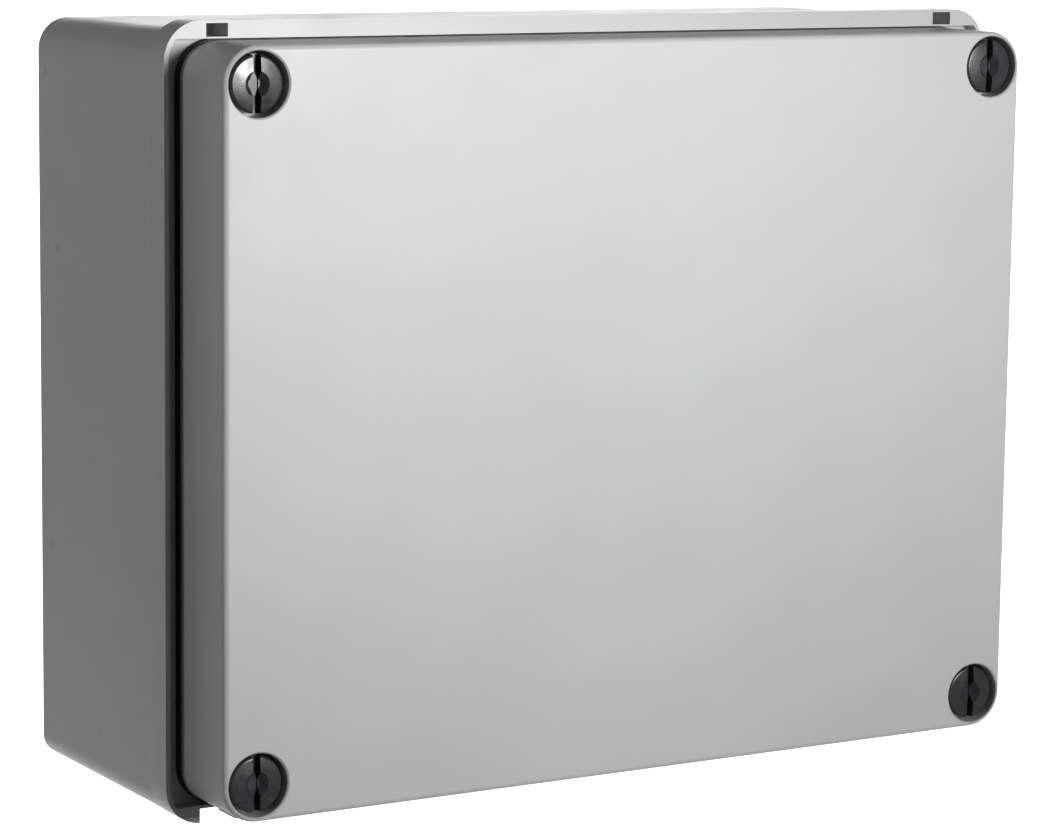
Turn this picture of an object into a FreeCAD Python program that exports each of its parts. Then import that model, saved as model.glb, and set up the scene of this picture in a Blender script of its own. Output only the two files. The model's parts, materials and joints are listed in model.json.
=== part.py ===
import FreeCAD, Part
import math
import os

# Surface-mounted electrical junction box with a lift-off lid, all sizes in millimetres.
# Frame: the wall is the plane y = 0, the box stands out along -Y, +Z is up,
# and the origin is the centre of the back face.

V = FreeCAD.Vector

# ---- driving dimensions -------------------------------------------------------------
LID_WIDTH = 242.0          # lid outline, X
LID_HEIGHT = 194.0         # lid outline, Z
LID_CORNER = 9.5           # corner radius of the lid outline
FRONT = -109.0             # front face of the lid
SKIRT_DEPTH = 25.0         # from the front face to the back edge of the lid skirt
LID_PLATE = 3.0            # thickness of the lid's front plate
SKIRT_WALL = 2.6           # thickness of the lid skirt
LID_EDGE_ROUND = 1.5       # rounding of the front edge

BODY_GROWTH_FRONT = 2.6    # how far the body stands outside the lid outline at the rim
BODY_GROWTH_BACK = 2.2     # and at the wall; the difference is the moulding draft
BODY_GROWTH_BELOW = 4.4    # at the lower edge, which has no draft
BODY_CORNER = 8.5          # upper corners
BODY_LOWER_CORNER = 5.5
CAVITY_LOWER_CORNER = 2.5
BODY_WALL = 3.5
FLOOR = 3.5
BACK_EDGE_ROUND = 1.6
CAVITY_ROUND = 1.5

SKIRT_EDGE = FRONT + SKIRT_DEPTH
RIM_GROWTH = 5.0           # how far the rim stands outside the lid outline
RIM_CORNER = 10.0
RIM_FRONT = SKIRT_EDGE - 1.5
RIM_BACK = RIM_FRONT + 10.0
GUTTER_FLOOR = RIM_FRONT + 4.0
GUTTER_LIP = 1.2           # thickness of the outer lip of the gutter
RIM_EDGE_ROUND = 0.8
RIM_ROOT = 2.5             # how far the cavity reaches into the rim
UPSTAND_FRONT = SKIRT_EDGE - 7.0
UPSTAND_CLEARANCE = 0.5    # between the inner upstand and the skirt that slides over it
UPSTAND_WALL = 2.2
PAD_LENGTH = 23.4          # from a lid corner to the end of a bottom pad; the top pad is full width
PAD_GAP = 0.5
POCKET_WIDTH = 6.0         # blind pockets in the top pads, in line with the screws
NOTCH_WIDTH = 10.0         # open drain notches in the bottom pads
POCKET_GAP = 0.9           # from the lid outline to a pocket or notch
POCKET_LIP = 0.7
POCKET_FLOOR = 1.2

SCREW_INSET = 9.5          # screw centre to lid edge
RECESS_R = 8.3
RECESS_CHAMFER = 0.4
RECESS_DEPTH = 7.5
CUP_FLOOR = 2.6
TUBE_R = 6.2
TUBE_END = SKIRT_EDGE - 1.0
HEAD_R = 7.3
HEAD_SINK = 1.0            # from the front face down to the middle of the screw head
HEAD_CROWN = 0.5           # how much the middle of a head stands above its edge
HEAD_EDGE_ROUND = 0.8
HEAD_DISH = (3.4, 1.6, 2.0)    # conical dish in the slot: mouth and floor radius, depth
SEAL_THICKNESS = 1.5
SEAL_R = 6.0
SEAL_GAP = 0.1
SHANK_R = 3.0
SHANK_CLEARANCE = 0.2
SHANK_END = SKIRT_EDGE + 13.0
LUG_R = 4.1
LUG_LENGTH = 4.0
LUG_HALF = 1.4
SLOT_HALF = 1.1
SLOT_DEPTH = 2.4
RETAINER_LENGTH = 1.7
RETAINER_SEAT = 2.2        # depth of its counterbore in the end of a lid tube
RETAINER_R = SHANK_R + 1.85
COLUMN_TOP = SKIRT_EDGE + 0.5
COLUMN_BORE_R = 4.4
COLUMN_BORE_END = SHANK_END + 4.0
RIB_HALF = 2.6             # half thickness of the ribs that tie a column to the walls
RIB_BITE = 1.5             # how far short of the lid outline a rib ends, inside the wall

WALL_HOLE_X = 101.0        # wall-fixing holes, half spacing
WALL_HOLE_Z = 76.0
WALL_HOLE_R = 2.75
WALL_BOSS_R = 7.6
WALL_BOSS_TOP = -10.0
WALL_COUNTERBORE_R = 5.6
WALL_COUNTERBORE_FLOOR = -4.5
CAP_PLUG_LENGTH = 3.2
CAP_FLANGE = 1.2

BOSS_TOP = -11.5           # bosses for the rail and for a mounting plate
BOSS_R = 5.0
BOSS_X = 90.0
BOSS_Z = 55.0
INSERT_R = 3.0
INSERT_BORE_R = 2.0
INSERT_END = -4.6

RAIL_LENGTH = 200.0        # 35 mm top-hat rail
RAIL_HALF = 17.5
RAIL_WEB = 13.5
RAIL_DEPTH = 7.5
RAIL_SHEET = 1.0
RAIL_SLOT = (15.0, 6.2)
RAIL_SLOT_PITCH = 25.0
RAIL_FRONT = BOSS_TOP - RAIL_DEPTH
WASHER_R = 4.6
WASHER_THICKNESS = 0.8
PAN_HEAD_R = 3.9
PAN_HEAD_HEIGHT = 2.6
CROSS_REACH = 2.3          # cross recess: half length, half width, depth
CROSS_HALF = 0.5
CROSS_DEPTH = 1.3

TERMINALS = 8              # grey feed-through terminals, then one earth terminal
TERMINAL_PITCH = 8.2
TERMINAL_WALL = 1.3
TERMINAL_GAP = 0.1
ENTRY_SIZE = (4.6, 5.2)      # wire entry, X and Z
ENTRY_Z = 19.5               # from the middle of the rail to a wire entry
ENTRY_HEIGHTS = (20.0, 32.0)    # above the front of the rail
FUNNEL = (2.5, 3.1, 3.0)     # inner and outer radius and depth of the funnel at an entry
FUNNEL_HEIGHT = 26.0
TOOL_Z = (10.6, 14.2)        # release slots for a screwdriver
TOOL_HALF = 1.6
TOOL_HEIGHTS = (26.0, 37.0)
TAG_HALF = 5.2               # groove for a marker tag
TAG_FLOOR = 34.4
END_PLATE = 2.2
END_STOP = 9.5

HALF_W = LID_WIDTH / 2
HALF_H = LID_HEIGHT / 2
SCREWS = {
    "top_left": (-(HALF_W - SCREW_INSET), HALF_H - SCREW_INSET),
    "top_right": (HALF_W - SCREW_INSET, HALF_H - SCREW_INSET),
    "bottom_left": (-(HALF_W - SCREW_INSET), -(HALF_H - SCREW_INSET)),
    "bottom_right": (HALF_W - SCREW_INSET, -(HALF_H - SCREW_INSET)),
}
SIGNS = [(sx, sz) for sx in (-1, 1) for sz in (-1, 1)]


# ---- helpers ------------------------------------------------------------------------
def outline(growth, radius, y, below=None, lower_radius=None):
    """Rounded rectangle in the XZ plane, standing `growth` outside the lid outline.

    The lower edge can stand out by another amount and have its own corner radius.
    """
    w = HALF_W + growth
    top = HALF_H + growth
    bottom = -HALF_H - (growth if below is None else below)
    lower_radius = lower_radius or radius
    edges = []
    corners = [(w, top, 1, 1), (-w, top, -1, 1), (-w, bottom, -1, -1), (w, bottom, 1, -1)]
    for i, (x, z, sx, sz) in enumerate(corners):
        radius = radius if sz > 0 else lower_radius
        d = radius * (1 - math.sqrt(0.5))
        near_x = V(x - sx * radius, y, z)
        near_z = V(x, y, z - sz * radius)
        start, end = (near_z, near_x) if i % 2 == 0 else (near_x, near_z)
        if edges:
            edges.append(Part.LineSegment(last, start).toShape())
        else:
            first = start
        edges.append(Part.Arc(start, V(x - sx * d, y, z - sz * d), end).toShape())
        last = end
    edges.append(Part.LineSegment(last, first).toShape())
    return Part.Wire(edges)


def slab(growth, radius, y_from, y_to):
    """Straight block on the outline, from one depth to another."""
    return Part.Face(outline(growth, radius, y_from)).extrude(V(0, y_to - y_from, 0))


def ring(outer, outer_radius, inner, inner_radius, y_from, y_to):
    """Frame between two outlines."""
    return slab(outer, outer_radius, y_from, y_to).cut(slab(inner, inner_radius, y_from, y_to))


def rod(x, z, radius, y_from, y_to):
    """Round bar along Y."""
    return Part.makeCylinder(radius, abs(y_to - y_from), V(x, max(y_from, y_to), z), V(0, -1, 0))


def box(x, y, z):
    """Block from three (low, high) pairs."""
    size = [b - a for a, b in (x, y, z)]
    return Part.makeBox(size[0], size[1], size[2], V(x[0], y[0], z[0]))


def tube(x, z, outer_r, inner_r, y_from, y_to):
    return rod(x, z, outer_r, y_from, y_to).cut(rod(x, z, inner_r, y_from, y_to))


def strip(points, thickness, x_from, x_to):
    """Bent sheet strip: a (z, y) centre line given an even thickness, extruded along X."""
    normals = []
    for (z0, y0), (z1, y1) in zip(points, points[1:]):
        length = math.hypot(z1 - z0, y1 - y0)
        normals.append(((y0 - y1) / length, (z1 - z0) / length))
    sides = ([], [])
    for i, (z, y) in enumerate(points):
        a = normals[max(i - 1, 0)]
        b = normals[min(i, len(normals) - 1)]
        m = (a[0] + b[0], a[1] + b[1])
        scale = thickness / (m[0] ** 2 + m[1] ** 2)
        for side, sign in zip(sides, (1, -1)):
            side.append((z + sign * scale * m[0], y + sign * scale * m[1]))
    return prism(sides[0] + sides[1][::-1], x_from, x_to)


def prism(points, x_from, x_to):
    """Closed (z, y) polygon extruded along X."""
    corners = [V(x_from, y, z) for z, y in points]
    face = Part.Face(Part.makePolygon(corners + [corners[0]]))
    return face.extrude(V(x_to - x_from, 0, 0))


def fuse(shapes):
    return shapes[0].multiFuse(shapes[1:]).removeSplitter()


def edges_at_depth(shape, y):
    """Edges that lie wholly in one plane of constant y."""
    return [e for e in shape.Edges
            if abs(e.BoundBox.YMin - y) < 1e-4 and abs(e.BoundBox.YMax - y) < 1e-4]


def save(name, shape):
    shape.exportStep(os.path.join("parts", name + ".step"))


# ---- base ---------------------------------------------------------------------------
def drafted_block(inset, y_back, y_front, radius, lower_radius, back_round):
    """Block `inset` inside the body's outer faces, widening to the front, its back edge rounded."""
    draft = BODY_GROWTH_FRONT - BODY_GROWTH_BACK
    below = BODY_GROWTH_BELOW - inset
    back = outline(BODY_GROWTH_BACK - inset, radius, y_back, below, lower_radius)
    front = outline(BODY_GROWTH_FRONT - inset, radius + draft, y_front, below, lower_radius + draft)
    block = Part.makeLoft([back, front], True, True)
    return block.makeFillet(back_round, edges_at_depth(block, y_back))


def rim_frame():
    """Rim with its gutter, lip, inner upstand and the pads that close the gutter."""
    upstand_out = -SKIRT_WALL - UPSTAND_CLEARANCE
    upstand_in = upstand_out - UPSTAND_WALL
    lip_in = RIM_GROWTH - GUTTER_LIP
    lip_corner = RIM_CORNER - GUTTER_LIP
    out_corner = LID_CORNER + upstand_out
    in_corner = LID_CORNER + upstand_in
    rim = slab(RIM_GROWTH, RIM_CORNER, RIM_BACK, RIM_FRONT)
    rim = rim.makeFillet(RIM_EDGE_ROUND, edges_at_depth(rim, RIM_BACK))
    gutter = ring(lip_in, lip_corner, upstand_out, out_corner, GUTTER_FLOOR, RIM_FRONT)
    upstand = ring(upstand_out, out_corner, upstand_in, in_corner, RIM_FRONT, UPSTAND_FRONT)
    opening = slab(upstand_in, in_corner, RIM_BACK + 1, UPSTAND_FRONT)
    reach = HALF_W + RIM_GROWTH
    depth = (RIM_FRONT, GUTTER_FLOOR)
    near = HALF_H + PAD_GAP
    far = HALF_H + RIM_GROWTH
    keep = [box((-reach, reach), depth, (near, far))]
    for x in ((-reach, PAD_LENGTH - HALF_W), (HALF_W - PAD_LENGTH, reach)):
        keep.append(box(x, depth, (-far, -near)))
    pads = slab(lip_in, lip_corner, GUTTER_FLOOR, RIM_FRONT).common(Part.makeCompound(keep))
    return rim.cut(gutter).fuse(upstand).cut(opening).fuse(pads.Solids)


def gutter_pockets():
    """Blind pockets in the two top pads, open drain notches in the two bottom ones."""
    cuts = []
    for name, (x, z) in SCREWS.items():
        top = z > 0
        near = HALF_H + POCKET_GAP
        width = POCKET_WIDTH if top else NOTCH_WIDTH
        far = HALF_H + RIM_GROWTH + (-POCKET_LIP if top else 1.0)
        z_range = sorted((math.copysign(near, z), math.copysign(far, z)))
        back = RIM_BACK - POCKET_FLOOR if top else RIM_BACK + 1.0
        x_range = (x - width / 2, x + width / 2)
        cuts.append(box(x_range, (RIM_FRONT - 1, back), z_range))
    return cuts


def screw_columns():
    """Corner columns that the lid screws turn into, each tied to both walls by a rib."""
    columns = []
    for x, z in SCREWS.values():
        sx = math.copysign(1, x)
        sz = math.copysign(1, z)
        columns.append(rod(x, z, TUBE_R, -FLOOR + 1, COLUMN_TOP))
        x_rib = sorted((x, sx * (HALF_W - RIB_BITE)))
        z_rib = sorted((z, sz * (HALF_H - RIB_BITE)))
        depth = (GUTTER_FLOOR + 2, -FLOOR + 1)
        columns.append(box(x_rib, depth, (z - RIB_HALF, z + RIB_HALF)))
        columns.append(box((x - RIB_HALF, x + RIB_HALF), depth, z_rib))
    return columns


def base_shell():
    envelope = drafted_block(0.0, 0.0, RIM_BACK, BODY_CORNER, BODY_LOWER_CORNER, BACK_EDGE_ROUND)
    cavity = drafted_block(BODY_WALL, -FLOOR, RIM_BACK - RIM_ROOT, BODY_CORNER - BODY_WALL,
                           CAVITY_LOWER_CORNER, CAVITY_ROUND)
    shell = envelope.fuse(rim_frame()).cut(cavity)
    parts = [shell] + screw_columns()
    for sx, sz in SIGNS:
        parts.append(rod(sx * WALL_HOLE_X, sz * WALL_HOLE_Z, WALL_BOSS_R, -FLOOR + 1, WALL_BOSS_TOP))
    for x, z in boss_places():
        parts.append(rod(x, z, BOSS_R, -FLOOR + 1, BOSS_TOP))
    shell = fuse(parts)
    cuts = gutter_pockets()
    for x, z in SCREWS.values():
        cuts.append(rod(x, z, COLUMN_BORE_R, COLUMN_BORE_END, UPSTAND_FRONT - 1))
        cuts.append(rod(x, z, TUBE_R + 0.7, COLUMN_TOP, UPSTAND_FRONT - 1))
    for sx, sz in SIGNS:
        x = sx * WALL_HOLE_X
        z = sz * WALL_HOLE_Z
        cuts.append(rod(x, z, WALL_HOLE_R, 1, WALL_COUNTERBORE_FLOOR - 1))
        cuts.append(rod(x, z, WALL_COUNTERBORE_R, WALL_COUNTERBORE_FLOOR, WALL_BOSS_TOP - 1))
    for x, z in boss_places():
        cuts.append(rod(x, z, INSERT_R, INSERT_END, BOSS_TOP - 1))
    return shell.cut(Part.makeCompound(cuts))


def boss_places():
    return [(sx * BOSS_X, z) for sx in (-1, 1) for z in (-BOSS_Z, 0.0, BOSS_Z)]


def brass_inserts():
    shapes = []
    for x, z in boss_places():
        body = rod(x, z, INSERT_R, INSERT_END, BOSS_TOP)
        shapes.append(body.cut(rod(x, z, INSERT_BORE_R, INSERT_END + 1, BOSS_TOP - 1)))
    return Part.makeCompound(shapes)


def wall_fixing_caps():
    """Insulating caps that close the counterbores over the wall screws."""
    top = WALL_BOSS_TOP - CAP_FLANGE
    tip = WALL_BOSS_TOP + CAP_PLUG_LENGTH
    shapes = []
    for sx, sz in SIGNS:
        x = sx * WALL_HOLE_X
        z = sz * WALL_HOLE_Z
        plug = rod(x, z, WALL_COUNTERBORE_R - 0.1, tip, WALL_BOSS_TOP)
        flange = rod(x, z, WALL_BOSS_R, WALL_BOSS_TOP, top)
        hollow = rod(x, z, WALL_COUNTERBORE_R - 1.5, tip, WALL_BOSS_TOP + 0.4)
        cap = plug.fuse(flange).cut(hollow)
        shapes.append(cap.makeFillet(0.5, edges_at_depth(cap, top)))
    return Part.makeCompound(shapes)


def lid_gasket():
    """Endless seal on the gutter floor, under the edge of the lid skirt."""
    outer = 0.35
    inner = -SKIRT_WALL - 0.3
    return ring(outer, LID_CORNER + outer, inner, LID_CORNER + inner, GUTTER_FLOOR, SKIRT_EDGE)


# ---- lid ----------------------------------------------------------------------------
def lid_shell():
    recess_floor = FRONT + RECESS_DEPTH
    cup_back = recess_floor + CUP_FLOOR
    outer = slab(0, LID_CORNER, FRONT, SKIRT_EDGE)
    envelope = outer.makeFillet(LID_EDGE_ROUND, edges_at_depth(outer, FRONT))
    hollow = slab(-SKIRT_WALL, LID_CORNER - SKIRT_WALL, FRONT + LID_PLATE, SKIRT_EDGE + 1)
    shell = envelope.cut(hollow)
    cups = []
    for x, z in SCREWS.values():
        cups.append(rod(x, z, SCREW_INSET, FRONT + LID_EDGE_ROUND + 0.1, cup_back).common(outer))
        cups.append(rod(x, z, TUBE_R, cup_back - 1, TUBE_END))
    shell = fuse([shell] + cups)
    cuts = []
    for x, z in SCREWS.values():
        cuts.append(rod(x, z, RECESS_R, recess_floor, FRONT - 1))
        mouth = RECESS_R + RECESS_CHAMFER
        cuts.append(Part.makeCone(mouth, RECESS_R, RECESS_CHAMFER, V(x, FRONT, z), V(0, 1, 0)))
        cuts.append(rod(x, z, SHANK_R + SHANK_CLEARANCE, recess_floor - 1, TUBE_END + 1))
        cuts.append(rod(x, z, RETAINER_R + 0.05, TUBE_END - RETAINER_SEAT, TUBE_END + 1))
    return shell.cut(Part.makeCompound(cuts))


def lid_screw(x, z):
    """Slotted quarter-turn screw with two locking lugs at its tip."""
    top = FRONT + HEAD_SINK
    back = FRONT + RECESS_DEPTH - SEAL_THICKNESS - SEAL_GAP
    crown_r = (HEAD_R ** 2 + HEAD_CROWN ** 2) / (2 * HEAD_CROWN)
    head = rod(x, z, HEAD_R, back, top).common(Part.makeSphere(crown_r, V(x, top + crown_r, z)))
    head = head.makeFillet(HEAD_EDGE_ROUND, edges_at_depth(head, top + HEAD_CROWN))
    shank = rod(x, z, SHANK_R, back - 1, SHANK_END)
    shank = shank.makeChamfer(0.8, edges_at_depth(shank, SHANK_END))
    lug_y = (SHANK_END - LUG_LENGTH - 1, SHANK_END - 1)
    lugs = box((x - LUG_R, x + LUG_R), lug_y, (z - LUG_HALF, z + LUG_HALF))
    lugs = lugs.common(rod(x, z, LUG_R, lug_y[0], lug_y[1]))
    slot = box((x - SLOT_HALF, x + SLOT_HALF), (top - 1, top + SLOT_DEPTH), (z - HEAD_R, z + HEAD_R))
    dish = Part.makeCone(*HEAD_DISH, V(x, top, z), V(0, 1, 0))
    return fuse([head, shank, lugs]).cut(slot).cut(dish)


def screw_seals():
    floor = FRONT + RECESS_DEPTH
    bore = SHANK_R + 0.4
    shapes = [tube(x, z, SEAL_R, bore, floor, floor - SEAL_THICKNESS) for x, z in SCREWS.values()]
    return Part.makeCompound(shapes)


def screw_retainers():
    """Rings that keep the screws in the lid when it is off."""
    start = TUBE_END - RETAINER_SEAT
    bore = SHANK_R + SHANK_CLEARANCE
    shapes = [tube(x, z, RETAINER_R, bore, start, start + RETAINER_LENGTH) for x, z in SCREWS.values()]
    return Part.makeCompound(shapes)


# ---- rail and terminals -------------------------------------------------------------
def rail_web():
    """Flat back of the top-hat rail, with a row of fixing slots."""
    back = BOSS_TOP
    front = BOSS_TOP - RAIL_SHEET
    web = box((-RAIL_LENGTH / 2, RAIL_LENGTH / 2), (front, back), (-RAIL_WEB, RAIL_WEB))
    length, width = RAIL_SLOT
    reach = (length - width) / 2
    count = int(RAIL_LENGTH / RAIL_SLOT_PITCH)
    slots = []
    for i in range(count):
        x = (i - (count - 1) / 2) * RAIL_SLOT_PITCH
        slots.append(box((x - reach, x + reach), (front - 1, back + 1), (-width / 2, width / 2)))
        for sign in (-1, 1):
            slots.append(rod(x + sign * reach, 0, width / 2, back + 1, front - 1))
    return web.cut(fuse(slots))


def din_rail():
    """Top-hat rail in five flat strips: web, two walls, and the two edges that the clips grip."""
    x = (-RAIL_LENGTH / 2, RAIL_LENGTH / 2)
    wall_y = (RAIL_FRONT, BOSS_TOP - RAIL_SHEET)
    edge_y = (RAIL_FRONT, RAIL_FRONT + RAIL_SHEET)
    strips = [rail_web()]
    for sign in (-1, 1):
        wall_z = sorted((sign * (RAIL_WEB - RAIL_SHEET), sign * RAIL_WEB))
        edge_z = sorted((sign * RAIL_WEB, sign * RAIL_HALF))
        strips += [box(x, wall_y, wall_z), box(x, edge_y, edge_z)]
    return Part.makeCompound(strips)


def rail_screws():
    """Pan-head screws that hold the rail on the two middle bosses."""
    seat = BOSS_TOP - RAIL_SHEET
    head_back = seat - WASHER_THICKNESS
    top = head_back - PAN_HEAD_HEIGHT
    shapes = []
    for sign in (-1, 1):
        x = sign * BOSS_X
        washer = rod(x, 0, WASHER_R, seat, head_back)
        head = rod(x, 0, PAN_HEAD_R, head_back, top)
        head = head.makeFillet(1.0, edges_at_depth(head, top))
        shank = rod(x, 0, INSERT_BORE_R - 0.06, seat - 1, INSERT_END - 0.6)
        screw = fuse([washer, head, shank])
        depth = (top - 1, top + CROSS_DEPTH)
        cross = [box((x - CROSS_REACH, x + CROSS_REACH), depth, (-CROSS_HALF, CROSS_HALF)),
                 box((x - CROSS_HALF, x + CROSS_HALF), depth, (-CROSS_REACH, CROSS_REACH))]
        shapes.append(screw.cut(fuse(cross)))
    return Part.makeCompound(shapes)


def on_rail(points):
    """Turn (z, height above the rail) pairs into (z, y) pairs."""
    return [(z, RAIL_FRONT - height) for z, height in points]


def heights(low, high):
    """Turn two heights above the rail into a (low, high) pair of y."""
    return (RAIL_FRONT - high, RAIL_FRONT - low)


def mirrored_outline(half):
    """Close a right-hand (z, height) half outline with its mirror image."""
    return on_rail(half + [(-z, h) for z, h in reversed(half)])


FOOT = [(RAIL_HALF + 0.15, 0.05), (RAIL_HALF + 0.15, -1.15), (RAIL_HALF - 1.3, -1.15),
        (RAIL_HALF - 1.3, -2.4), (RAIL_HALF + 0.6, -3.6), (RAIL_HALF + 3.0, -3.6)]
TERMINAL_SIDE = [(22.0, 0.5), (28.0, 7.0), (28.0, 15.0), (24.0, 26.0), (13.5, 32.0), (11.5, 36.0)]
CHAMBER = [(3.0, 4.6), (22.0, 4.6), (25.0, 8.5), (25.0, 14.5), (21.5, 23.2), (12.0, 28.4), (7.0, 28.4),
           (5.0, 12.0), (3.0, 12.0)]


def terminal_places():
    """Left face of each terminal, then of the end plate, along the rail."""
    count = TERMINALS + 1
    start = -(count * TERMINAL_PITCH + END_PLATE) / 2
    return [start + i * TERMINAL_PITCH for i in range(count + 1)]


def terminal(x):
    """Moulded housing, open on its right side, with a wire and a tool entry at each end."""
    right = x + TERMINAL_PITCH - TERMINAL_GAP
    body = prism(mirrored_outline(FOOT + TERMINAL_SIDE), x, right)
    cuts = [prism(mirrored_outline(CHAMBER), x + TERMINAL_WALL, right + 1)]
    middle = (x + TERMINAL_WALL + right) / 2
    for sign in (-1, 1):
        z = sorted((sign * (ENTRY_Z - ENTRY_SIZE[1] / 2), sign * (ENTRY_Z + ENTRY_SIZE[1] / 2)))
        x_entry = (middle - ENTRY_SIZE[0] / 2, middle + ENTRY_SIZE[0] / 2)
        entry = box(x_entry, heights(*ENTRY_HEIGHTS), z)
        mouth = V(middle, RAIL_FRONT - FUNNEL_HEIGHT, sign * ENTRY_Z)
        funnel = Part.makeCone(*FUNNEL, mouth, V(0, -1, 0))
        z = sorted((sign * TOOL_Z[0], sign * TOOL_Z[1]))
        tool = box((middle - TOOL_HALF, middle + TOOL_HALF), heights(*TOOL_HEIGHTS), z)
        cuts += [entry, funnel, tool]
    cuts.append(box((x - 1, right + 1), heights(TAG_FLOOR, TOOL_HEIGHTS[1]), (-TAG_HALF, TAG_HALF)))
    return body.cut(Part.makeCompound(cuts))


def current_bar(x):
    """Copper bar along the bottom of the chamber with a raised contact at each end."""
    line = [(-23.0, 14.0), (-23.0, 9.0), (-20.5, 6.2), (20.5, 6.2), (23.0, 9.0), (23.0, 14.0)]
    return strip(on_rail(line), 1.2, x + TERMINAL_WALL + 0.6, x + TERMINAL_PITCH - 1.0)


def clamp_spring(x, sign):
    """Bent leaf that presses a wire on the end of the bar."""
    line = [(21.6, 12.0), (21.6, 10.4), (18.5, 8.0), (10.0, 8.0), (7.6, 10.6), (8.4, 22.5), (11.0, 25.6),
            (14.6, 24.4), (15.6, 20.5), (20.6, 15.4)]
    points = [(sign * z, h) for z, h in line]
    return strip(on_rail(points), 0.45, x + TERMINAL_WALL + 0.8, x + TERMINAL_PITCH - 1.2)


def end_plate(x):
    outline_points = mirrored_outline([(RAIL_HALF + 0.15, 0.05)] + TERMINAL_SIDE)
    return prism(outline_points, x, x + END_PLATE - TERMINAL_GAP)


def marker(x):
    """Blank snap-in tag in the groove on top of a terminal."""
    low, high = heights(TAG_FLOOR + 0.05, TAG_FLOOR + 1.8)
    tag = box((x + 0.5, x + TERMINAL_PITCH - 0.6), (low, high), (0.3 - TAG_HALF, TAG_HALF - 0.3))
    return tag.makeFillet(0.4, edges_at_depth(tag, low))


def end_stop(x, sign):
    """Screwless bracket clipped on the rail beside the row of terminals."""
    side = [(22.0, 0.5), (23.5, 4.0), (22.0, 14.0), (14.0, 18.5), (9.0, 20.0)]
    ends = sorted((x, x + sign * END_STOP))
    body = prism(mirrored_outline(FOOT + side), ends[0], ends[1])
    window = box((ends[0] + 2.0, ends[1] - 2.0), heights(6, 21), (-6.5, 6.5))
    return body.cut(window)


# ---- write every piece --------------------------------------------------------------
os.makedirs("parts", exist_ok=True)
save("base_shell", base_shell())
save("wall_fixing_caps", wall_fixing_caps())
save("brass_inserts", brass_inserts())
save("lid_gasket", lid_gasket())
save("lid_shell", lid_shell())
for place, (screw_x, screw_z) in SCREWS.items():
    save("lid_screw_" + place, lid_screw(screw_x, screw_z))
save("screw_seals", screw_seals())
save("screw_retainers", screw_retainers())
save("din_rail", din_rail())
save("rail_screws", rail_screws())

places = terminal_places()
for number, left in enumerate(places[:TERMINALS], 1):
    save("terminal_%d" % number, terminal(left))
save("earth_terminal", terminal(places[TERMINALS]))
save("terminal_end_plate", end_plate(places[-1]))
save("current_bars", Part.makeCompound([current_bar(left) for left in places[:-1]]))
springs = [clamp_spring(left, sign) for left in places[:-1] for sign in (-1, 1)]
save("clamp_springs", Part.makeCompound(springs))
save("marker_tags", Part.makeCompound([marker(left) for left in places[:-1]]))
save("end_stop_left", end_stop(places[0] - TERMINAL_GAP, -1))
save("end_stop_right", end_stop(places[-1] + END_PLATE, 1))
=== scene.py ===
import json
import math
import bpy
from mathutils import Matrix, Vector


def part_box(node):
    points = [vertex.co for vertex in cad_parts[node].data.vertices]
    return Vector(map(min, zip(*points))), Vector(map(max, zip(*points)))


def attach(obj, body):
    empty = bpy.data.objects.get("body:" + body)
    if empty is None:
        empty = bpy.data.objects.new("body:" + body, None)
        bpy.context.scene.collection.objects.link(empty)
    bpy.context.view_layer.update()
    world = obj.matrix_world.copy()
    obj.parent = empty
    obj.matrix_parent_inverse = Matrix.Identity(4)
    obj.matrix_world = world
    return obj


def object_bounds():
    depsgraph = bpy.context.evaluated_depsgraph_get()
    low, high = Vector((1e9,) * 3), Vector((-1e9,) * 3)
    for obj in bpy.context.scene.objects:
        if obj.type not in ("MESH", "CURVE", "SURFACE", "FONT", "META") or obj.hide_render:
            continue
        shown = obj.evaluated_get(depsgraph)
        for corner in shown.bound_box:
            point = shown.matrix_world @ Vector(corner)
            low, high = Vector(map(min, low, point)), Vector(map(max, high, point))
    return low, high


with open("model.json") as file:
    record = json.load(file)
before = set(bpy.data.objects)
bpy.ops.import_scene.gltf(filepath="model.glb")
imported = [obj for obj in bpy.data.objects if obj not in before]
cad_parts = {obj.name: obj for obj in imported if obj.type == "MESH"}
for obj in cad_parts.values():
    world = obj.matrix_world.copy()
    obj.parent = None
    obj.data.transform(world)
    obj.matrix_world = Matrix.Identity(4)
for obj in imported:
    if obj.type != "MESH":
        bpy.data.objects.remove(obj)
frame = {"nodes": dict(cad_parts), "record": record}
CAD_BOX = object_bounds()
NODES = frame["nodes"]
SLOT_OF = {s["node"]: s["material_slot"] for s in frame["record"]["subparts"]}

# ---- camera -------------------------------------------------------------------------
CAMERA_AZIMUTH = math.radians(30.68)     # towards the left of the box
CAMERA_ELEVATION = math.radians(8.71)
CAMERA_ROLL = math.radians(0.68)
CAMERA_DISTANCE = 0.9607                 # from the aim point, which lies in the lid's front plane
CAMERA_AIM_X = -0.0357
CAMERA_AIM_Z = -0.0001
CAMERA_FOCAL = 128.57                    # mm
SENSOR_WIDTH = 36.0                      # mm
CLIP_START = 0.01                        # metres, as every length without a unit here


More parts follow.
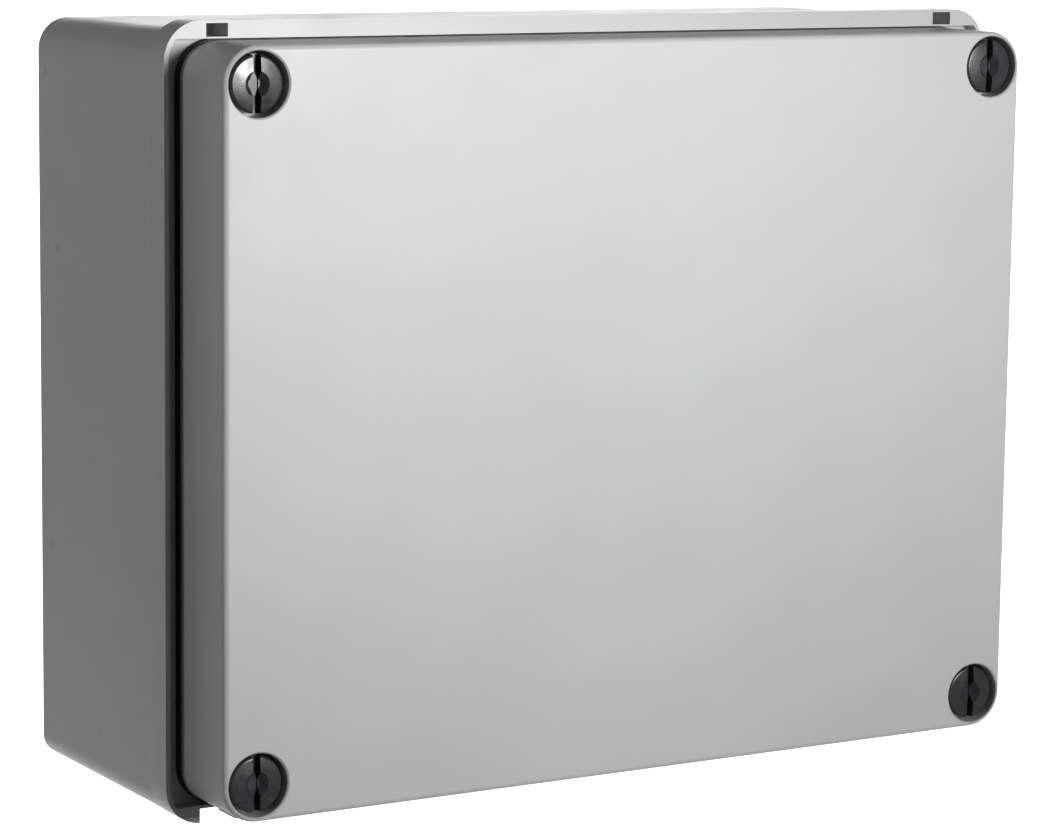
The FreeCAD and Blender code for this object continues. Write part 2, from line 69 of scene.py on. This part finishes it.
def add_camera():
    """Camera that looks at the lid from the left and a little above."""
    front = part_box("lid_shell")[0].y
    aim = Vector((CAMERA_AIM_X, front, CAMERA_AIM_Z))
    flat = math.cos(CAMERA_ELEVATION)
    back = Vector((-math.sin(CAMERA_AZIMUTH) * flat, -math.cos(CAMERA_AZIMUTH) * flat,
                   math.sin(CAMERA_ELEVATION)))
    right = Vector((math.cos(CAMERA_AZIMUTH), -math.sin(CAMERA_AZIMUTH), 0.0))
    up = back.cross(right)
    turn = Matrix.Rotation(CAMERA_ROLL, 3, back)
    right = turn @ right
    up = turn @ up
    data = bpy.data.cameras.new("photo_camera")
    data.lens = CAMERA_FOCAL
    data.sensor_width = SENSOR_WIDTH
    data.clip_start = CLIP_START
    camera = bpy.data.objects.new("photo_camera", data)
    bpy.context.scene.collection.objects.link(camera)
    rotation = Matrix((right, up, back)).transposed().to_4x4()
    camera.matrix_world = Matrix.Translation(aim + back * CAMERA_DISTANCE) @ rotation
    bpy.context.scene.camera = camera


# ---- stage and light ----------------------------------------------------------------
FLOOR_DROP = 0.30                        # floor below the box, which hangs on its wall screws
SWEEP_START = 0.85                       # where the floor starts to curve up, behind the box
SWEEP_RADIUS = 0.75
SWEEP_TOP = 0.25                         # straight part above the curve
SWEEP_STEPS = 24                         # facets in the curve
SWEEP_REACH = 3.2                        # half width
FLOOR_STATIONS = (-6.0, -2.0, 0.0)       # floor edges, from in front of the box to under it
SWEEP_GREY = 0.88
SWEEP_ROUGHNESS = 0.9
SWEEP_SPECULAR = 0.1
WORLD_LEVEL = 0.05                       # strength of the white world

SOFTBOX = (0.3, 0.3)                     # width and height of the key and the fill
SOFTBOX_SPREAD = math.radians(46.0)
KEY_PLACE = (0.33, -1.25, 0.21)
KEY_TARGET = (-0.02, -0.109, 0.115)
KEY_WATTS = 1.04
FILL_PLACE = (-1.3, -0.03, 0.55)
FILL_TARGET = (-0.12, -0.05, 0.1)
FILL_WATTS = 0.19
BACKDROP_PLACE = (0.35, 0.15, 0.9)       # distance, side and height, see away()
BACKDROP_AIM = (0.94, 0.0, -0.34)        # from there, in the same way
BACKDROP_SIZE = (0.7, 0.3)
BACKDROP_WATTS = 55.0


def away(distance, side, height):
    """Point behind the box along the camera's line of sight, and to the right of it."""
    s = math.sin(CAMERA_AZIMUTH)
    c = math.cos(CAMERA_AZIMUTH)
    return Vector((distance * s + side * c, distance * c - side * s, height))


def add_area_light(name, place, target, size, watts, spread=None):
    """Rectangular softbox at place, facing target; a small spread keeps its light in a narrow cone."""
    data = bpy.data.lights.new(name, "AREA")
    data.shape = "RECTANGLE"
    data.size, data.size_y = size
    data.energy = watts
    if spread is not None:
        data.spread = spread
    light = bpy.data.objects.new(name, data)
    bpy.context.scene.collection.objects.link(light)
    light.location = place
    light.rotation_euler = (Vector(target) - Vector(place)).to_track_quat("-Z", "Y").to_euler()


def add_stage():
    """Pale floor that curves up into a backdrop behind the box, and a dim white world."""
    world = bpy.data.worlds.new("studio")
    bpy.context.scene.world = world
    world.use_nodes = True
    background = world.node_tree.nodes["Background"]
    background.inputs["Color"].default_value = (1.0, 1.0, 1.0, 1.0)
    background.inputs["Strength"].default_value = WORLD_LEVEL

    level = CAD_BOX[0][2] - FLOOR_DROP
    profile = [(distance, level) for distance in FLOOR_STATIONS]
    for i in range(SWEEP_STEPS + 1):
        turn = i / SWEEP_STEPS * math.pi / 2
        rise = SWEEP_RADIUS * (1 - math.cos(turn))
        profile.append((SWEEP_START + SWEEP_RADIUS * math.sin(turn), level + rise))
    profile.append((SWEEP_START + SWEEP_RADIUS, level + SWEEP_RADIUS + SWEEP_TOP))
    verts = []
    for distance, height in profile:
        for side in (-SWEEP_REACH, SWEEP_REACH):
            verts.append(away(distance, side, height))
    faces = [(2 * i, 2 * i + 1, 2 * i + 3, 2 * i + 2) for i in range(len(profile) - 1)]
    mesh = bpy.data.meshes.new("studio_sweep")
    mesh.from_pydata(verts, [], faces)
    for polygon in mesh.polygons:
        polygon.use_smooth = True
    sweep = bpy.data.objects.new("studio_sweep", mesh)
    bpy.context.scene.collection.objects.link(sweep)
    mesh.materials.append(sweep_material())


def sweep_material():
    """Plain matt near-white."""
    material = bpy.data.materials.new("pale_sweep")
    material.use_nodes = True
    shader = material.node_tree.nodes["Principled BSDF"]
    shader.inputs["Base Color"].default_value = (SWEEP_GREY, SWEEP_GREY, SWEEP_GREY, 1.0)
    shader.inputs["Roughness"].default_value = SWEEP_ROUGHNESS
    shader.inputs["Specular IOR Level"].default_value = SWEEP_SPECULAR
    return material


def add_lights():
    """Narrow key from the front, narrow fill on the left side, wide light on the sweep behind."""
    add_area_light("key_softbox", KEY_PLACE, KEY_TARGET, SOFTBOX, KEY_WATTS, SOFTBOX_SPREAD)
    add_area_light("left_fill", FILL_PLACE, FILL_TARGET, SOFTBOX, FILL_WATTS, SOFTBOX_SPREAD)
    place = away(*BACKDROP_PLACE)
    target = place + away(*BACKDROP_AIM)
    add_area_light("backdrop_light", place, target, BACKDROP_SIZE, BACKDROP_WATTS)


# ---- materials ----------------------------------------------------------------------
class Shader:
    """Small helper that builds one procedural Principled material."""

    def __init__(self, name, colour, roughness, metallic=0.0):
        self.material = bpy.data.materials.new(name)
        self.material.use_nodes = True
        self.tree = self.material.node_tree
        self.principled = self.tree.nodes["Principled BSDF"]
        self.principled.inputs["Base Color"].default_value = (*colour, 1.0)
        self.principled.inputs["Roughness"].default_value = roughness
        self.principled.inputs["Metallic"].default_value = metallic
        self.place = self.node("ShaderNodeTexCoord").outputs["Object"]
        self.normal = None

    def node(self, kind, **inputs):
        made = self.tree.nodes.new(kind)
        for key, value in inputs.items():
            made.inputs[key.replace("_", " ")].default_value = value
        return made

    def link(self, output, socket):
        self.tree.links.new(output, socket)

    def stretched(self, scale):
        """Object coordinates, scaled along each axis."""
        mapping = self.node("ShaderNodeMapping")
        mapping.inputs["Scale"].default_value = scale
        self.link(self.place, mapping.inputs["Vector"])
        return mapping.outputs["Vector"]

    def noise(self, scale, detail, roughness=0.55, stretch=(1.0, 1.0, 1.0)):
        """Noise in the object's own coordinates."""
        made = self.node("ShaderNodeTexNoise", Scale=scale, Detail=detail, Roughness=roughness)
        self.link(self.stretched(stretch), made.inputs["Vector"])
        return made.outputs["Fac"]

    def span(self, value, low, high, out_low=0.0, out_high=1.0):
        """Value mapped from low..high to out_low..out_high, clamped."""
        made = self.node("ShaderNodeMapRange")
        keys = ("From Min", "From Max", "To Min", "To Max")
        for key, number in zip(keys, (low, high, out_low, out_high)):
            made.inputs[key].default_value = number
        self.link(value, made.inputs["Value"])
        return made.outputs["Result"]

    def blend(self, factor, first, second):
        """Colour mix; first and second are colours or sockets."""
        made = self.node("ShaderNodeMix")
        made.data_type = "RGBA"
        self.link(factor, made.inputs[0])
        for socket, value in ((made.inputs[6], first), (made.inputs[7], second)):
            if isinstance(value, tuple):
                socket.default_value = (*value, 1.0)
            else:
                self.link(value, socket)
        return made.outputs[2]

    def colour(self, output):
        self.link(output, self.principled.inputs["Base Color"])

    def rough(self, output):
        self.link(output, self.principled.inputs["Roughness"])

    def bump(self, height, distance, strength):
        """One more layer of bump over the earlier ones."""
        made = self.node("ShaderNodeBump")
        made.inputs["Distance"].default_value = distance
        made.inputs["Strength"].default_value = strength
        self.link(height, made.inputs["Height"])
        if self.normal is not None:
            self.link(self.normal, made.inputs["Normal"])
        self.normal = made.outputs["Normal"]
        self.link(self.normal, self.principled.inputs["Normal"])


def shade(colour, factor):
    """Lighter or darker version of a colour."""
    return tuple(min(1.0, c * factor) for c in colour)


def moulded_plastic(name, colour, roughness):
    """Moulded thermoplastic: fine spark-eroded grain, faint flow clouds, dust specks and scuffs."""
    s = Shader(name, colour, roughness)
    clouds = s.span(s.noise(scale=14.0, detail=3.0), 0.3, 0.7)
    base = s.blend(clouds, shade(colour, 0.965), shade(colour, 1.025))
    specks = s.span(s.noise(scale=1900.0, detail=2.0), 0.68, 0.78)
    base = s.blend(specks, base, shade(colour, 0.86))
    scuffs = s.span(s.noise(scale=60.0, detail=6.0, roughness=0.7, stretch=(1.0, 1.0, 9.0)), 0.66, 0.8)
    base = s.blend(s.span(scuffs, 0.0, 1.0, 0.0, 0.35), base, shade(colour, 1.12))
    s.colour(base)
    wear = s.noise(scale=35.0, detail=5.0)
    s.rough(s.span(wear, 0.25, 0.75, roughness - 0.05, roughness + 0.07))
    s.bump(s.noise(scale=2600.0, detail=2.0), 0.00004, 0.5)
    s.bump(s.noise(scale=28.0, detail=2.0), 0.00012, 0.25)
    return s.material


def dark_screw_plastic():
    """Dark glass-filled plastic with pale rubbed marks from a screwdriver."""
    colour = (0.036, 0.037, 0.04)
    s = Shader("lid_screw_plastic", colour, 0.26)
    marks = s.noise(scale=420.0, detail=5.0, roughness=0.7, stretch=(1.0, 1.0, 0.35))
    streaks = s.span(marks, 0.6, 0.75)
    clouds = s.span(s.noise(scale=90.0, detail=3.0), 0.3, 0.7)
    base = s.blend(clouds, shade(colour, 0.8), shade(colour, 1.3))
    s.colour(s.blend(s.span(streaks, 0.0, 1.0, 0.0, 0.3), base, (0.13, 0.13, 0.135)))
    s.rough(s.span(s.noise(scale=260.0, detail=4.0), 0.3, 0.7, 0.2, 0.34))
    s.bump(s.noise(scale=1800.0, detail=2.0), 0.00003, 0.5)
    return s.material


def rubber():
    """Matt black seal rubber with pale dust."""
    colour = (0.018, 0.018, 0.019)
    s = Shader("seal_rubber", colour, 0.62)
    dust = s.span(s.noise(scale=700.0, detail=4.0), 0.6, 0.75, 0.0, 0.5)
    s.colour(s.blend(dust, colour, (0.09, 0.088, 0.084)))
    s.rough(s.span(s.noise(scale=180.0, detail=4.0), 0.3, 0.7, 0.5, 0.75))
    s.bump(s.noise(scale=2200.0, detail=3.0), 0.00004, 0.6)
    return s.material


def plated_metal(name, colour, roughness, stretch, tint):
    """Rolled or turned metal with streaks along the work and a slightly uneven plating."""
    s = Shader(name, colour, roughness, metallic=1.0)
    streaks = s.noise(scale=900.0, detail=3.0, roughness=0.6, stretch=stretch)
    cloud = s.span(s.noise(scale=45.0, detail=4.0), 0.35, 0.7)
    base = s.blend(cloud, colour, tint)
    s.colour(s.blend(s.span(streaks, 0.35, 0.65, 0.0, 0.35), base, shade(colour, 0.72)))
    s.rough(s.span(streaks, 0.3, 0.7, roughness - 0.08, roughness + 0.1))
    s.bump(streaks, 0.00002, 0.5)
    return s.material


YELLOW_START = (0.0158, 0.0162)          # where green turns to yellow, from the middle in Z


def earth_plastic():
    """Green polyamide with a yellow shoulder on each side."""
    green = (0.05, 0.24, 0.035)
    yellow = (0.8, 0.62, 0.03)
    s = Shader("terminal_earth_plastic", green, 0.42)
    split = s.node("ShaderNodeSeparateXYZ")
    s.link(s.place, split.inputs["Vector"])
    size = s.node("ShaderNodeMath")
    size.operation = "ABSOLUTE"
    s.link(split.outputs["Z"], size.inputs[0])
    band = s.span(size.outputs[0], *YELLOW_START)
    base = s.blend(band, green, yellow)
    specks = s.span(s.noise(scale=1500.0, detail=2.0), 0.62, 0.75, 0.0, 0.5)
    s.colour(s.blend(specks, base, (0.12, 0.2, 0.03)))
    s.rough(s.span(s.noise(scale=60.0, detail=4.0), 0.3, 0.7, 0.36, 0.5))
    s.bump(s.noise(scale=2200.0, detail=2.0), 0.00004, 0.5)
    return s.material


def make_materials():
    """One material for each material slot of the CAD parts."""
    base_grey = (0.548, 0.552, 0.552)
    lid_grey = (0.60, 0.605, 0.605)
    along_x = (0.02, 1.0, 1.0)           # noise stretched along X, and so on
    short_x = (0.1, 1.0, 1.0)
    along_y = (1.0, 0.1, 1.0)
    along_z = (1.0, 1.0, 0.05)
    return {
        "housing": moulded_plastic("housing_plastic", base_grey, 0.31),
        "lid": moulded_plastic("lid_plastic", lid_grey, 0.4),
        "cap_grey": moulded_plastic("cap_plastic", (0.27, 0.28, 0.29), 0.5),
        "lid_screw": dark_screw_plastic(),
        "seal": rubber(),
        "nylon": moulded_plastic("nylon", (0.72, 0.71, 0.66), 0.38),
        "brass": plated_metal("turned_brass", (0.78, 0.56, 0.22), 0.28, along_y, (0.7, 0.46, 0.2)),
        "rail_zinc": plated_metal("rail_zinc", (0.62, 0.63, 0.62), 0.34, along_x, (0.6, 0.58, 0.47)),
        "screw_zinc": plated_metal("screw_zinc", (0.66, 0.66, 0.64), 0.27, along_y, (0.62, 0.6, 0.5)),
        "terminal_grey": moulded_plastic("terminal_plastic", (0.2, 0.205, 0.21), 0.44),
        "terminal_earth": earth_plastic(),
        "copper": plated_metal("tinned_copper", (0.72, 0.4, 0.27), 0.3, along_z, (0.6, 0.52, 0.46)),
        "spring_steel": plated_metal("spring_steel", (0.55, 0.55, 0.56), 0.25, short_x,
                                     (0.5, 0.49, 0.46)),
        "marker": moulded_plastic("marker_plastic", (0.78, 0.78, 0.75), 0.42),
        "end_stop": moulded_plastic("end_stop_plastic", (0.085, 0.088, 0.092), 0.45),
    }


def assign(materials):
    """Give every CAD piece the material of its slot."""
    for name, obj in NODES.items():
        material = materials[SLOT_OF[name]]
        obj.data.materials.clear()
        obj.data.materials.append(material)


# ---- small moulded details ----------------------------------------------------------
MM = 0.001
RIB_TOP_HALF = 0.45 * MM                 # ribs inside the lid, drafted
RIB_FOOT_HALF = 0.8 * MM
RIB_HEIGHT = 0.8 * MM
RIB_BITE = 0.02 * MM                     # how far a rib reaches into the lid plate
LID_PLATE = 3.0 * MM
RIBS_ACROSS = (-0.066, 0.0, 0.066)
RIBS_ALONG = (-0.046, 0.046)
RIB_REACH = (0.096, 0.076)               # half length of the long and of the short ribs

BUTTON_SIZE = (2.9 * MM, 3.2 * MM)       # release buttons in the grey terminals' tool slots, X and Z
BUTTON_CORNER = 0.6 * MM
CORNER_STEPS = 5                         # facets in each corner of a button
BUTTON_Z = 12.4 * MM                     # from the middle of the terminal
BUTTON_X = 4.7 * MM                      # from the terminal's left face
TERMINAL_TOP = 36.0                      # height of a terminal above the rail, mm
# height above the rail and inset of each ring of a button, from its foot to its dished top, mm
BUTTON_LEVELS = [(26.6, 0.0), (30.8, 0.0), (31.2, 0.22), (31.2, 0.5), (30.5, 0.78)]
BUTTON_LEAST_CORNER = 0.1 * MM


def new_piece(name, verts, faces, material, body):
    """Mesh object that moves with the named body."""
    mesh = bpy.data.meshes.new(name)
    mesh.from_pydata(verts, [], faces)
    mesh.update()
    mesh.materials.append(material)
    piece = bpy.data.objects.new(name, mesh)
    bpy.context.scene.collection.objects.link(piece)
    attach(piece, body)


def drafted_bar(x, z, y, verts, faces):
    """Bar with sloping flanks and ends between (low, high) pairs, standing into the box from y."""
    base = len(verts)
    slope = RIB_FOOT_HALF - RIB_TOP_HALF
    for depth, inset in ((y - RIB_BITE, 0.0), (y + RIB_HEIGHT, slope)):
        for px, pz in ((x[0] + inset, z[0] + inset), (x[1] - inset, z[0] + inset),
                       (x[1] - inset, z[1] - inset), (x[0] + inset, z[1] - inset)):
            verts.append((px, depth, pz))
    faces.append((base, base + 1, base + 2, base + 3))
    faces.append((base + 7, base + 6, base + 5, base + 4))
    for i in range(4):
        j = (i + 1) % 4
        faces.append((base + i, base + i + 4, base + j + 4, base + j))


def add_lid_ribs(material):
    """Shallow stiffening ribs on the inner face of the lid."""
    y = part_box("lid_shell")[0].y + LID_PLATE
    verts = []
    faces = []
    long_half, short_half = RIB_REACH
    for x in RIBS_ACROSS:
        width = (x - RIB_FOOT_HALF, x + RIB_FOOT_HALF)
        drafted_bar(width, (-short_half, short_half), y, verts, faces)
    for z in RIBS_ALONG:
        width = (z - RIB_FOOT_HALF, z + RIB_FOOT_HALF)
        drafted_bar((-long_half, long_half), width, y, verts, faces)
    new_piece("lid_inner_ribs", verts, faces, material, "lid")


def rounded_loop(width, height, corner):
    """Points of a rounded rectangle about the origin."""
    points = []
    for quarter, (sx, sz) in enumerate(((1, 1), (-1, 1), (-1, -1), (1, -1))):
        for i in range(CORNER_STEPS + 1):
            turn = (quarter + i / CORNER_STEPS) * math.pi / 2
            points.append((sx * (width / 2 - corner) + corner * math.cos(turn),
                           sz * (height / 2 - corner) + corner * math.sin(turn)))
    return points


def add_release_buttons(material):
    """Dished push buttons in the tool slots of the grey terminals; the earth terminal has none."""
    verts = []
    faces = []
    for name in sorted(n for n in NODES if n.startswith("terminal_") and n != "terminal_end_plate"):
        low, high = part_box(name)
        for side in (-1, 1):
            centre_z = (low.z + high.z) / 2 + side * BUTTON_Z
            start = len(verts)
            for height, inset in BUTTON_LEVELS:
                y = low.y + (TERMINAL_TOP - height) * MM
                corner = max(BUTTON_CORNER - inset * MM, BUTTON_LEAST_CORNER)
                loop = rounded_loop(BUTTON_SIZE[0] - 2 * inset * MM,
                                    BUTTON_SIZE[1] - 2 * inset * MM, corner)
                verts += [(low.x + BUTTON_X + px, y, centre_z + pz) for px, pz in loop]
            count = len(loop)
            for level in range(len(BUTTON_LEVELS) - 1):
                for i in range(count):
                    a = start + level * count + i
                    b = start + level * count + (i + 1) % count
                    faces.append((a, b, b + count, a + count))
            faces.append(tuple(range(start + count - 1, start - 1, -1)))
            last = start + (len(BUTTON_LEVELS) - 1) * count
            faces.append(tuple(range(last, last + count)))
    new_piece("release_buttons", verts, faces, material, "base")


# ---- build --------------------------------------------------------------------------
add_camera()
add_stage()
add_lights()
bpy.context.scene.view_settings.view_transform = "Standard"
MATERIALS = make_materials()
assign(MATERIALS)
add_lid_ribs(MATERIALS["lid"])
add_release_buttons(moulded_plastic("button_plastic", (0.62, 0.19, 0.035), 0.4))
